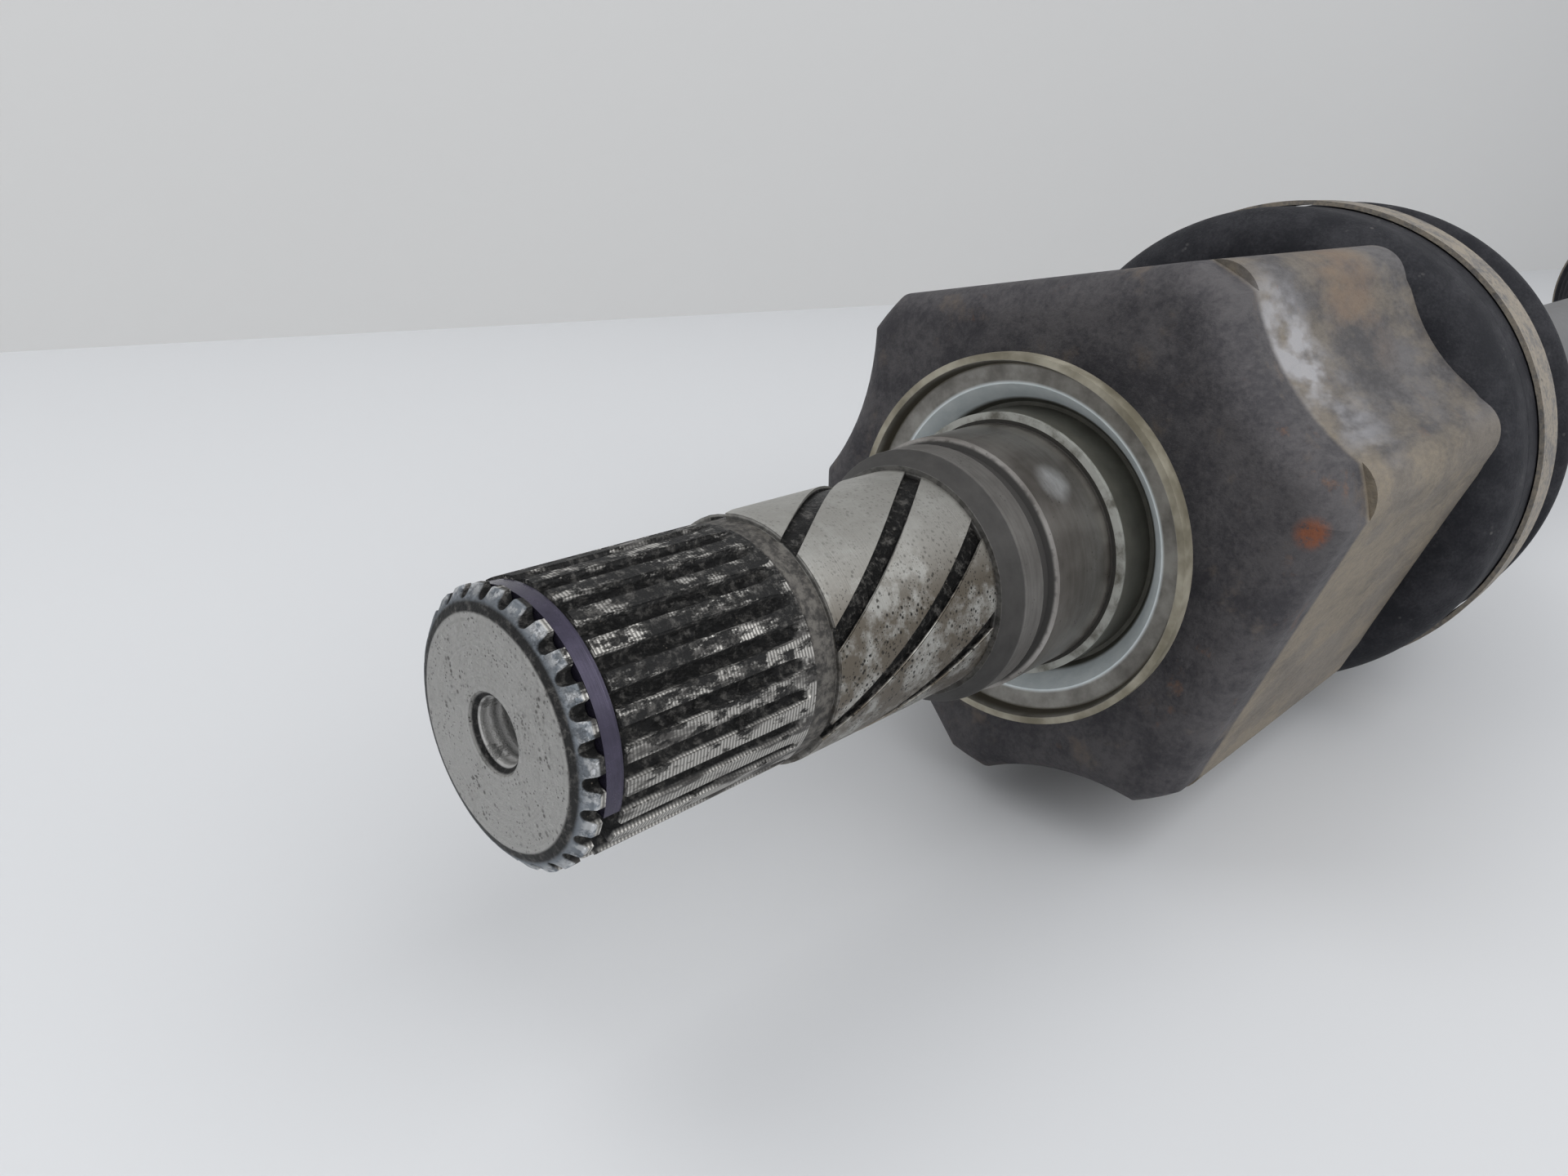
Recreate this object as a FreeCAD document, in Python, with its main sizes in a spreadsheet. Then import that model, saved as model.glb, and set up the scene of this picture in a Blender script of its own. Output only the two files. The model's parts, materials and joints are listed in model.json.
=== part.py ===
import FreeCAD, Part
import math
import os
import Sketcher
from FreeCAD import Placement, Rotation, Vector

# Half shaft: inner tripod joint, bar and outer ball joint, lying along +X with +Z up.
# The origin is the mouth of the tapped hole in the inner stub's end face.
# Sizes are in millimetres and degrees. Azimuths are measured from +Z towards +Y.
SIZES = {
    # inner stub, from its end face inwards
    "inner_face_radius": 11.7,
    "inner_ring_radius": 13.0,
    "inner_ring_depth": 0.45,
    "end_chamfer": 1.35,
    "tap_radius": 3.4,
    "tap_depth": 22.0,
    "countersink_radius": 4.2,
    "countersink_depth": 0.8,
    "drill_point": 2.0,
    "clip_groove_start": 2.25,
    "clip_groove_width": 2.4,
    "clip_groove_radius": 12.1,
    "stub_clip_radius": 13.8,
    "stub_clip_side_gap": 0.25,
    "stub_clip_arc": 314.0,
    "stub_clip_middle": 53.0,
    "inner_spline_radius": 14.1,
    "inner_spline_teeth": 26.0,
    "inner_spline_length": 29.2,
    "spline_depth": 1.2,
    "spline_runout": 4.0,
    "spline_run_in": 2.0,
    "relief_radius": 13.9,
    "relief_length": 3.3,
    "journal_radius": 14.6,
    "journal_length": 28.5,
    "oil_groove_count": 8.0,
    "oil_groove_depth": 0.65,
    "oil_groove_width": 4.3,
    "oil_groove_lead": 147.6,
    "oil_groove_start": 23.6,
    "oil_groove_reach": 44.0,
    "collar_step": 0.6,
    "collar_rise": 2.6,
    "collar_radius": 16.9,
    "collar_length": 9.4,
    "undercut_radius": 16.2,
    "undercut_width": 1.6,
    "land_radius": 17.5,
    "land_length": 21.6,
    # pressed dust shield
    "shield_seat_radius": 18.0,
    "shield_sheet": 1.0,
    "shield_hub": 8.4,
    "shield_channel": 1.1,
    "shield_cone_run": 3.8,
    "shield_cone_radius": 22.5,
    "shield_flange_lean": 0.5,
    "shield_flange_radius": 25.4,
    "shield_rim_radius": 27.0,
    "shield_rim_reach": 2.1,
    # three-lobed housing
    "lobe_azimuth": 14.0,
    "lobe_flat": 36.3,
    "waist_depth": 38.8,
    "waist_radius": 38.0,
    "corner_rounding": 6.0,
    "seat_rounding": 13.0,
    "front_rounding": 5.0,
    "front_edge_radius": 38.4,
    "turned_radius": 43.0,
    "turned_length": 11.0,
    "tulip_floor": 12.0,
    "cavity_depth": 87.5,
    "cavity_radius": 25.0,
    "flare_length": 26.0,
    "mouth_radius": 33.0,
    "tripod_depth": 48.0,
    "boot_seat_length": 30.0,
    # tripod
    "roller_pitch": 22.5,
    "roller_radius": 19.0,
    "roller_width": 10.0,
    "track_clearance": 1.6,
    "roof_height": 32.3,
    "track_foot": 10.0,
    "hub_radius": 15.0,
    "hub_half_length": 12.0,
    "trunnion_radius": 8.0,
    "trunnion_base_radius": 11.5,
    "trunnion_root": 12.5,
    "trunnion_base_height": 15.6,
    "trunnion_foot_radius": 9.6,
    "trunnion_foot_height": 17.4,
    "trunnion_height": 29.6,
    "trunnion_chamfer": 0.8,
    "needle_radius": 1.5,
    "needle_count": 18.0,
    "needle_length": 9.0,
    "needle_play": 0.03,
    "retainer_gap": 0.1,
    "retainer_width": 0.9,
    "retainer_radius": 11.9,
    "retainer_groove": 0.8,
    # bar
    "bar_radius": 12.5,
    "neck_radius": 11.5,
    "tripod_seat_radius": 10.5,
    "race_seat_radius": 11.0,
    "bar_end_length": 1.3,
    "bar_chamfer": 0.8,
    "bar_clip_width": 1.2,
    "bar_clip_depth": 1.2,
    "bar_clip_height": 3.2,
    "bar_clip_gap": 0.1,
    "bar_clip_arc": 320.0,
    "neck_length": 46.0,
    "bar_taper": 15.0,
    "boot_seat_rise": 0.4,
    "boot_seat_gap": 0.3,
    "joint_spacing": 505.0,
    # boots and their clamps
    "soft_gap": 0.2,
    "adaptor_radius": 43.4,
    "adaptor_flange": 12.0,
    "adaptor_rounding": 9.0,
    "boot_wall": 1.7,
    "boot_tail": 3.0,
    "shoulder_run": 2.5,
    "outer_shoulder": 5.0,
    "fold_wall": 2.6,
    "fold_count": 5.0,
    "crest_flat": 1.2,
    "small_collar_length": 12.0,
    "inner_boot_length": 108.0,
    "inner_crest_first": 46.2,
    "inner_crest_last": 23.0,
    "inner_root_first": 38.5,
    "inner_root_last": 17.0,
    "outer_boot_length": 85.0,
    "outer_crest_first": 41.0,
    "outer_crest_last": 20.0,
    "outer_root_first": 33.0,
    "outer_root_last": 16.5,
    "clamp_sheet": 0.8,
    "big_clamp_width": 9.5,
    "small_clamp_width": 6.5,
    "inner_clamp_offset": 6.3,
    "outer_clamp_offset": 3.0,
    "clamp_ear_height": 3.4,
    "big_ear_half": 4.6,
    "small_ear_half": 3.0,
    "clamp_ear_lean": 1.2,
    "inner_ear_azimuth": 154.5,
    "outer_ear_azimuth": 205.5,
    # outer ball joint
    "ball_radius": 8.7,
    "ball_pitch": 30.0,
    "ball_end_gap": 0.15,
    "ball_side_room": 1.0,
    "track_room": 1.6,
    "track_sweep": 70.0,
    "race_depth": 4.5,
    "race_half_width": 10.0,
    "sphere_gap": 0.3,
    "cage_rise": 3.9,
    "cage_half_width": 11.8,
    "bell_mouth": 14.0,
    "bell_floor": 24.0,
    "bell_seat_radius": 43.0,
    "bell_seat_length": 13.0,
    "bell_radius": 45.5,
    "bell_barrel": 20.0,
    "bell_bottom": 15.0,
    "bell_dome_radius": 30.0,
    "bell_dome_end": 26.0,
    "bell_step": 1.5,
    "bell_face_radius": 23.0,
    "stub_plain_radius": 15.5,
    "stub_plain_length": 8.0,
    "outer_spline_radius": 14.0,
    "outer_spline_length": 40.0,
    "outer_spline_teeth": 28.0,
    "thread_relief_radius": 11.2,
    "thread_relief_length": 4.0,
    "thread_radius": 12.0,
    "thread_length": 26.0,
    "thread_chamfer": 1.5,
    "centre_hole_radius": 3.0,
    "centre_hole_depth": 4.0,
}

# Share of a spline's pitch that is tooth space, at the tips and at the floor
SPACE_AT_TIP = 0.66
SPACE_AT_FLOOR = 0.38
# How hollow a space's floor is, and how far its end rises, as shares of its half floor and of its depth
FLOOR_BEND = 1.25
RUNOUT_RISE = 1.5
LOBES = 3
BALLS = 6
# How far a cutter reaches past the surface it leaves
OVERRUN = 3.0
OUTSIDE = 12.0
INNER_SPACE_AZIMUTH = -3.7
FIRST_BALL_AZIMUTH = 30
LEAST_CUT = 0.1


class Size:
    """A named size, or a sum, product or root of named sizes, with the text that drives a constraint."""

    def __init__(self, text, value):
        self.text = text
        self.value = value

    def __add__(self, other):
        other = as_size(other)
        return Size(f"({self.text} + {other.text})", self.value + other.value)

    def __sub__(self, other):
        other = as_size(other)
        return Size(f"({self.text} - {other.text})", self.value - other.value)

    def __mul__(self, other):
        other = as_size(other)
        return Size(f"({self.text} * {other.text})", self.value * other.value)

    def __truediv__(self, other):
        other = as_size(other)
        return Size(f"({self.text} / {other.text})", self.value / other.value)

    def __radd__(self, other):
        return as_size(other) + self

    def __rsub__(self, other):
        return as_size(other) - self

    def __rmul__(self, other):
        return as_size(other) * self

    def __neg__(self):
        return as_size(0) - self


def as_size(item):
    return item if isinstance(item, Size) else Size(repr(float(item)), float(item))


def leg(slant, side):
    """The other leg of a right triangle: where a sphere of radius slant stands at a distance side."""
    return Size(f"sqrt({slant.text}^2 - {side.text}^2)", math.sqrt(slant.value**2 - side.value**2))


class Names:
    """Reads a size by its name, as size.land_radius."""

    def __getattr__(self, name):
        return Size("Sizes." + name, SIZES[name])


size = Names()
doc = FreeCAD.newDocument("HalfShaft")
sheet = doc.addObject("Spreadsheet::Sheet", "Sizes")
for row, (name, number) in enumerate(SIZES.items(), start=1):
    sheet.set(f"A{row}", name)
    sheet.set(f"B{row}", str(number))
    sheet.setAlias(f"B{row}", name)
doc.recompute()


# Stations along the shaft
journal_start = size.inner_spline_length + size.relief_length
journal_end = journal_start + size.journal_length
land_start = journal_end + size.collar_length
tulip_front = land_start + size.land_length
cavity_floor = tulip_front + size.tulip_floor
tulip_end = cavity_floor + size.cavity_depth
seat_start = tulip_end - size.boot_seat_length
tripod_x = cavity_floor + size.tripod_depth
adaptor_flange_end = seat_start + size.adaptor_flange
ball_x = tripod_x + size.joint_spacing
bell_mouth_x = ball_x - size.bell_mouth
inner_boot_start = adaptor_flange_end + size.soft_gap
inner_boot_end = inner_boot_start + size.inner_boot_length
outer_boot_start = bell_mouth_x - size.outer_boot_length

# The outer joint's spheres lie below and above the circle of ball centres
race_radius = size.ball_pitch - size.race_depth
cage_outer_radius = size.ball_pitch + size.cage_rise


def new_body(label):
    body = doc.addObject("PartDesign::Body", label)
    body.Label = label
    return body


def origin_part(body, role):
    return next(part for part in body.Origin.OriginFeatures if part.Role == role)


def sketch_on(body, name, plane, along=0, turn=0, tilt=0):
    """A sketch on a body's own plane: along its normal, turned about it, tilted about its first axis."""
    made = body.newObject("Sketcher::SketchObject", f"{body.Label}_{name}")
    made.AttachmentSupport = (origin_part(body, plane), "")
    made.MapMode = "FlatFace"
    shift = as_size(along)
    attitude = Rotation(Vector(0, 0, 1), turn) * Rotation(Vector(1, 0, 0), tilt)
    made.AttachmentOffset = Placement(Vector(0, 0, shift.value), attitude)
    made.setExpression("AttachmentOffset.Base.z", shift.text)
    return made


def pin_point(made, rules, geometry, point, across, up):
    """Fix one point of a sketch at its distances from the sketch's two axes."""
    for kind, axis, item in (("DistanceX", -2, across), ("DistanceY", -1, up)):
        distance = as_size(item)
        if isinstance(item, Size):
            rules.append((Sketcher.Constraint(kind, -1, 1, geometry, point, distance.value), distance))
        elif distance.value:
            rules.append((Sketcher.Constraint(kind, -1, 1, geometry, point, distance.value), None))
        else:
            rules.append((Sketcher.Constraint("PointOnObject", geometry, point, axis), None))


def apply_rules(made, rules):
    first = made.ConstraintCount
    made.addConstraint([constraint for constraint, _ in rules])
    for index, (_, drive) in enumerate(rules, start=first):
        if drive is not None:
            made.setExpression(f"Constraints[{index}]", drive.text)


def outline(made, corners, closed=True):
    """Lines through corners (across, up); a third item is the radius of an arc that leads there.

    A positive radius turns to the left, a negative one to the right.
    """
    count = len(corners)
    spots = [Vector(as_size(c[0]).value, as_size(c[1]).value, 0) for c in corners]
    rules = []
    ends = []
    for index in range(count if closed else count - 1):
        following = (index + 1) % count
        start, end = spots[index], spots[following]
        if len(corners[following]) < 3:
            geometry = made.addGeometry(Part.LineSegment(start, end))
            ends.append((geometry, 1, 2))
            continue
        bend = corners[following][2]
        radius = bend if bend.value > 0 else -bend
        chord = end - start
        left = Vector(-chord.y, chord.x, 0).normalize()
        depth = math.sqrt(radius.value**2 - (chord.Length / 2) ** 2)
        centre = (start + end) * 0.5 + left * (depth if bend.value > 0 else -depth)
        first, last = (start, end) if bend.value > 0 else (end, start)
        angles = [math.atan2(spot.y - centre.y, spot.x - centre.x) for spot in (first, last)]
        circle = Part.Circle(centre, Vector(0, 0, 1), radius.value)
        geometry = made.addGeometry(Part.ArcOfCircle(circle, *angles))
        ends.append((geometry, 1, 2) if bend.value > 0 else (geometry, 2, 1))
        rules.append((Sketcher.Constraint("Radius", geometry, radius.value), radius))
    for index, (geometry, begin, _) in enumerate(ends):
        pin_point(made, rules, geometry, begin, *corners[index][:2])
    for (geometry, _, finish), (next_geometry, begin, _) in zip(ends, ends[1:] + ends[:1]):
        if closed or next_geometry > geometry:
            rules.append((Sketcher.Constraint("Coincident", geometry, finish, next_geometry, begin), None))
    if not closed:
        pin_point(made, rules, ends[-1][0], ends[-1][2], *corners[-1][:2])
    apply_rules(made, rules)
    return made


def disc(made, across, up, radius):
    spot = Vector(as_size(across).value, as_size(up).value, 0)
    geometry = made.addGeometry(Part.Circle(spot, Vector(0, 0, 1), radius.value))
    rules = [(Sketcher.Constraint("Radius", geometry, radius.value), radius)]
    pin_point(made, rules, geometry, 3, across, up)
    apply_rules(made, rules)
    return made


def feature(body, kind, name, profile, **settings):
    made = body.newObject("PartDesign::" + kind, f"{body.Label}_{name}")
    made.Profile = profile
    for key, item in settings.items():
        if isinstance(item, Size):
            made.setExpression(key, item.text)
        else:
            setattr(made, key, item)
    return made


def revolve(body, name, profile, axis="H_Axis", kind="Revolution", angle=360, **settings):
    return feature(body, kind, name, profile, ReferenceAxis=(profile, [axis]), Angle=angle, **settings)


def turned_about_x(body, name, corners, kind="Revolution", **settings):
    profile = outline(sketch_on(body, name + "_outline", "XZ_Plane"), corners)
    return revolve(body, name, profile, kind=kind, **settings)


def around(body, name, original, count, axis="X_Axis"):
    made = body.newObject("PartDesign::PolarPattern", f"{body.Label}_{name}")
    made.Originals = [original]
    made.Axis = (origin_part(body, axis), [""])
    made.Angle = 360
    if isinstance(count, Size):
        made.setExpression("Occurrences", count.text)
    else:
        made.Occurrences = count
    body.Tip = made
    return made


def cut_splines(body, name, open_end, heading, length, tip, teeth, azimuth=0):
    """Rounded tooth spaces that start at the open end and rise out of the shaft where they stop."""
    floor = tip - size.spline_depth
    rise = size.spline_depth * RUNOUT_RISE
    sweep_radius = (size.spline_runout * size.spline_runout + rise * rise) / (2 * rise)
    entry = open_end - heading * size.spline_run_in
    half_tip = tip * (math.pi * SPACE_AT_TIP) / teeth
    half_floor = tip * (math.pi * SPACE_AT_FLOOR) / teeth
    section = outline(
        sketch_on(body, name + "_space", "YZ_Plane", along=entry, turn=-azimuth),
        [
            (-half_tip, tip + size.spline_depth / 2),
            (-half_floor, floor + half_floor / 2),
            (half_floor, floor + half_floor / 2, half_floor * FLOOR_BEND),
            (half_tip, tip + size.spline_depth / 2),
        ],
    )
    bend_x = open_end + heading * (length - size.spline_runout)
    path = outline(
        sketch_on(body, name + "_path", "XZ_Plane", tilt=-azimuth),
        [
            (entry, floor),
            (bend_x, floor),
            (open_end + heading * length, floor + rise, heading * sweep_radius),
        ],
        closed=False,
    )
    space = feature(body, "SubtractivePipe", name + "_cut", section, Spine=(path, ["Edge1", "Edge2"]))
    return around(body, name, space, teeth)


def lobed_section(made, rounding):
    """The housing's section: three flats, three hollow waists and six rounded corners."""
    waist_centre = size.waist_depth + size.waist_radius
    waist_y = waist_centre * math.sin(math.pi / LOBES)
    waist_z = waist_centre * math.cos(math.pi / LOBES)
    corner_z = size.lobe_flat - rounding
    corner_y = waist_y - leg(size.waist_radius + rounding, waist_z - corner_z)
    share = rounding / (size.waist_radius + rounding)
    meet_y = corner_y + (waist_y - corner_y) * share
    meet_z = corner_z + (waist_z - corner_z) * share
    corners = []
    for lobe in range(LOBES):
        turn = 2 * math.pi * lobe / LOBES
        for y, z, bend in (
            (-meet_y, meet_z, size.waist_radius),
            (-corner_y, size.lobe_flat, -rounding),
            (corner_y, size.lobe_flat, None),
            (meet_y, meet_z, -rounding),
        ):
            across = y * math.cos(turn) + z * math.sin(turn)
            up = z * math.cos(turn) - y * math.sin(turn)
            corners.append((across, up, bend) if bend else (across, up))
    return outline(made, corners)


def round_front(body, lobes):
    """Round the forged edge that runs all the way about the housing's front face."""
    doc.recompute()
    names = []
    for number, edge in enumerate(lobes.Shape.Edges, start=1):
        on_front = all(abs(vertex.X - tulip_front.value) < 0.01 for vertex in edge.Vertexes)
        outside = all(math.hypot(vertex.Y, vertex.Z) > SIZES["cavity_radius"] for vertex in edge.Vertexes)
        if on_front and outside:
            names.append(f"Edge{number}")
    rounding = body.newObject("PartDesign::Fillet", f"{body.Label}_front_rounding")
    rounding.Base = (lobes, names)
    rounding.setExpression("Radius", size.front_rounding.text)
    body.Tip = rounding


def inner_joint_housing():
    body = new_body("inner_joint_housing")
    turned_about_x(
        body,
        "journal",
        [
            (journal_start, 0),
            (journal_end, 0),
            (journal_end, size.journal_radius),
            (journal_start, size.journal_radius),
        ],
    )
    groove_floor = size.journal_radius - size.oil_groove_depth
    groove = outline(
        sketch_on(body, "oil_groove_outline", "XZ_Plane"),
        [
            (size.oil_groove_start - size.oil_groove_width / 2, groove_floor),
            (size.oil_groove_start + size.oil_groove_width / 2, groove_floor),
            (size.oil_groove_start + size.oil_groove_width / 2, size.journal_radius + size.oil_groove_depth),
            (size.oil_groove_start - size.oil_groove_width / 2, size.journal_radius + size.oil_groove_depth),
        ],
    )
    helix = feature(
        body,
        "SubtractiveHelix",
        "oil_groove",
        groove,
        ReferenceAxis=(groove, ["H_Axis"]),
        Mode="pitch-height-angle",
        Pitch=size.oil_groove_lead,
        Height=size.oil_groove_reach,
        LeftHanded=True,
        Refine=False,
    )
    around(body, "oil_grooves", helix, size.oil_groove_count).Refine = False
    clip_end = size.clip_groove_start + size.clip_groove_width
    turned_about_x(
        body,
        "stub",
        [
            (0, size.countersink_radius),
            (0, size.inner_face_radius),
            (size.inner_ring_depth, size.inner_ring_radius),
            (size.end_chamfer, size.inner_spline_radius),
            (size.clip_groove_start, size.inner_spline_radius),
            (size.clip_groove_start, size.clip_groove_radius),
            (clip_end, size.clip_groove_radius),
            (clip_end, size.inner_spline_radius),
            (size.inner_spline_length, size.inner_spline_radius),
            (size.inner_spline_length, size.relief_radius),
            (journal_start, size.relief_radius),
            (journal_start, 0),
            (size.tap_depth + size.drill_point, 0),
            (size.tap_depth, size.tap_radius),
            (size.countersink_depth, size.tap_radius),
        ],
    )
    undercut_end = land_start - size.collar_step
    undercut_start = undercut_end - size.undercut_width
    turned_about_x(
        body,
        "collar_and_land",
        [
            (journal_end, 0),
            (journal_end, size.journal_radius + size.collar_step),
            (journal_end + size.collar_rise, size.collar_radius),
            (undercut_start - size.collar_step, size.collar_radius),
            (undercut_start, size.undercut_radius),
            (undercut_end, size.undercut_radius),
            (land_start, size.land_radius),
            (tulip_front - size.shield_hub, size.land_radius),
            (tulip_front - size.shield_hub, size.shield_seat_radius),
            (tulip_front + size.tulip_floor / 2, size.shield_seat_radius),
            (tulip_front + size.tulip_floor / 2, 0),
        ],
    )
    lobe_turn = -SIZES["lobe_azimuth"]
    lobes = lobed_section(
        sketch_on(body, "lobes_outline", "YZ_Plane", along=tulip_front, turn=lobe_turn),
        size.corner_rounding,
    )
    round_front(body, feature(body, "Pad", "lobes", lobes, Length=seat_start - tulip_front))
    seat = lobed_section(
        sketch_on(body, "boot_seat_outline", "YZ_Plane", along=seat_start, turn=lobe_turn),
        size.seat_rounding,
    )
    feature(body, "Pad", "boot_seat", seat, Length=size.boot_seat_length)
    outside = size.lobe_flat + OUTSIDE
    shoulder_depth = size.turned_radius - size.front_edge_radius
    turned_about_x(
        body,
        "turned_front",
        [
            (tulip_front, size.front_edge_radius),
            (tulip_front + shoulder_depth, size.turned_radius, -shoulder_depth),
            (tulip_front + size.turned_length, size.turned_radius),
            (tulip_front + size.turned_length, outside),
            (tulip_front, outside),
        ],
        kind="Groove",
    )
    turned_about_x(
        body,
        "cavity",
        [
            (cavity_floor, 0),
            (tulip_end + OVERRUN, 0),
            (tulip_end + OVERRUN, size.mouth_radius),
            (tulip_end, size.mouth_radius),
            (tulip_end - size.flare_length, size.cavity_radius),
            (cavity_floor, size.cavity_radius),
        ],
        kind="Groove",
    )
    track_radius = size.roller_radius + size.track_clearance
    roof_half = leg(track_radius, size.roof_height - size.roller_pitch)
    foot_half = leg(track_radius, size.roller_pitch - size.track_foot)
    track = outline(
        sketch_on(body, "track_outline", "YZ_Plane", along=tulip_end, turn=lobe_turn),
        [
            (roof_half, size.roof_height),
            (foot_half, size.track_foot, -track_radius),
            (-foot_half, size.track_foot),
            (-roof_half, size.roof_height, -track_radius),
        ],
    )
    pocket = feature(body, "Pocket", "track", track, Length=size.cavity_depth)
    around(body, "tracks", pocket, LOBES)
    cut_splines(
        body,
        "splines",
        as_size(0),
        1,
        size.inner_spline_length,
        size.inner_spline_radius,
        size.inner_spline_teeth,
        azimuth=INNER_SPACE_AZIMUTH,
    )
    return body


def place(made, along, azimuth=0):
    """Move a body along the shaft and turn its upright axis to an azimuth."""
    made.Placement = Placement(Vector(along.value, 0, 0), Rotation(Vector(1, 0, 0), -azimuth))
    made.setExpression("Placement.Base.x", along.text)
    return made


def stub_circlip():
    body = new_body("stub_circlip")
    start = size.clip_groove_start + size.stub_clip_side_gap
    end = size.clip_groove_start + size.clip_groove_width - size.stub_clip_side_gap
    ring = outline(
        sketch_on(body, "outline", "XZ_Plane", tilt=-SIZES["stub_clip_middle"]),
        [
            (start, size.clip_groove_radius),
            (end, size.clip_groove_radius),
            (end, size.stub_clip_radius),
            (start, size.stub_clip_radius),
        ],
    )
    revolve(body, "ring", ring, angle=size.stub_clip_arc, Midplane=True)
    return body


def dust_shield():
    """Pressed ring: hub sleeve, channel, cone, flange and rolled rim, all of one sheet thickness."""
    body = new_body("dust_shield")
    sheet_half = size.shield_sheet / 2
    hub_end = tulip_front - size.shield_hub
    hub_radius = size.shield_seat_radius + size.shield_sheet
    channel_radius = hub_radius + size.shield_channel
    cone_x = tulip_front - size.shield_cone_run
    flange_x = cone_x - size.shield_flange_lean
    rim_bend = size.shield_rim_radius - size.shield_flange_radius - sheet_half
    rim_end = flange_x - size.shield_sheet - size.shield_rim_reach
    turned_about_x(
        body,
        "sheet",
        [
            (hub_end, size.shield_seat_radius),
            (tulip_front, size.shield_seat_radius),
            (tulip_front, channel_radius),
            (cone_x, size.shield_cone_radius + sheet_half),
            (flange_x, size.shield_flange_radius + sheet_half),
            (flange_x - rim_bend, size.shield_rim_radius, rim_bend),
            (rim_end, size.shield_rim_radius),
            (rim_end, size.shield_rim_radius - size.shield_sheet),
            (flange_x - size.shield_sheet, size.shield_flange_radius),
            (cone_x - size.shield_sheet, size.shield_cone_radius),
            (tulip_front - size.shield_sheet, channel_radius - sheet_half),
            (tulip_front - size.shield_sheet, hub_radius),
            (hub_end, hub_radius),
        ],
    )
    return body


def inner_boot_adaptor():
    """Rubber between the lobed housing and the round boot, with a rounded flange before the boot's lip."""
    body = new_body("inner_boot_adaptor")
    flange_radius = size.adaptor_radius + size.soft_gap + size.boot_wall
    outside = flange_radius + OVERRUN
    section = lobed_section(
        sketch_on(body, "outline", "YZ_Plane", along=seat_start, turn=-SIZES["lobe_azimuth"]),
        size.seat_rounding,
    )
    disc(section, 0, 0, outside)
    feature(body, "Pad", "ring", section, Length=size.boot_seat_length)
    turned_about_x(
        body,
        "outside",
        [
            (seat_start, flange_radius - size.adaptor_rounding),
            (seat_start + size.adaptor_rounding, flange_radius, -size.adaptor_rounding),
            (adaptor_flange_end, flange_radius),
            (adaptor_flange_end, size.adaptor_radius),
            (tulip_end, size.adaptor_radius),
            (tulip_end, outside + OVERRUN),
            (seat_start, outside + OVERRUN),
        ],
        kind="Groove",
    )
    return body


def boot(label, big_end, big_inner, fold_start, fold_end, small_end, radii):
    """A convoluted sleeve: big collar, folds with flat crests and small collar.

    Radii are the crest and root next to the big collar, then those next to the small one.
    """
    body = new_body(label)
    heading = 1 if small_end.value > big_end.value else -1
    first_crest, first_root, last_crest, last_root = radii
    small_inner = size.bar_radius + size.boot_seat_rise + size.boot_seat_gap
    small_outer = small_inner + size.boot_wall
    big_outer = big_inner + size.boot_wall
    pitch = (fold_end - fold_start) / size.fold_count
    folds = int(SIZES["fold_count"])
    zigzag = [(fold_start, first_root)]
    for fold in range(folds):
        share = fold / (folds - 1)
        crest_x = fold_start + pitch * (fold + 0.5)
        crest = first_crest + (last_crest - first_crest) * share
        zigzag.append((crest_x - heading * size.crest_flat, crest))
        zigzag.append((crest_x + heading * size.crest_flat, crest))
        if fold < folds - 1:
            root = first_root + (last_root - first_root) * share
            zigzag.append((fold_start + pitch * (fold + 1), root))
    inside = [(x, radius - size.fold_wall) for x, radius in zigzag]
    big_shoulder = fold_start - heading * size.shoulder_run
    outer_side = [(big_end, big_outer), (big_shoulder, big_outer)] + zigzag
    outer_side += [(fold_end, small_outer), (small_end, small_outer)]
    inner_side = [(big_end, big_inner), (big_shoulder - heading * size.boot_wall, big_inner)] + inside
    inner_side += [(fold_end, small_inner), (small_end, small_inner)]
    turned_about_x(body, "sleeve", outer_side + inner_side[::-1])
    return body


def clamp(label, start, inner_radius, width, ear_half, ear_azimuth):
    body = new_body(label)
    outer_radius = inner_radius + size.clamp_sheet
    turned_about_x(
        body,
        "band",
        [
            (start, inner_radius),
            (start + width, inner_radius),
            (start + width, outer_radius),
            (start, outer_radius),
        ],
    )
    ear = outline(
        sketch_on(body, "ear_outline", "YZ_Plane", along=start, turn=-ear_azimuth),
        [
            (-ear_half, inner_radius + size.clamp_sheet / 2),
            (ear_half, inner_radius + size.clamp_sheet / 2),
            (ear_half - size.clamp_ear_lean, outer_radius + size.clamp_ear_height),
            (-ear_half + size.clamp_ear_lean, outer_radius + size.clamp_ear_height),
        ],
    )
    feature(body, "Pad", "ear", ear, Length=width)
    return body


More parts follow.
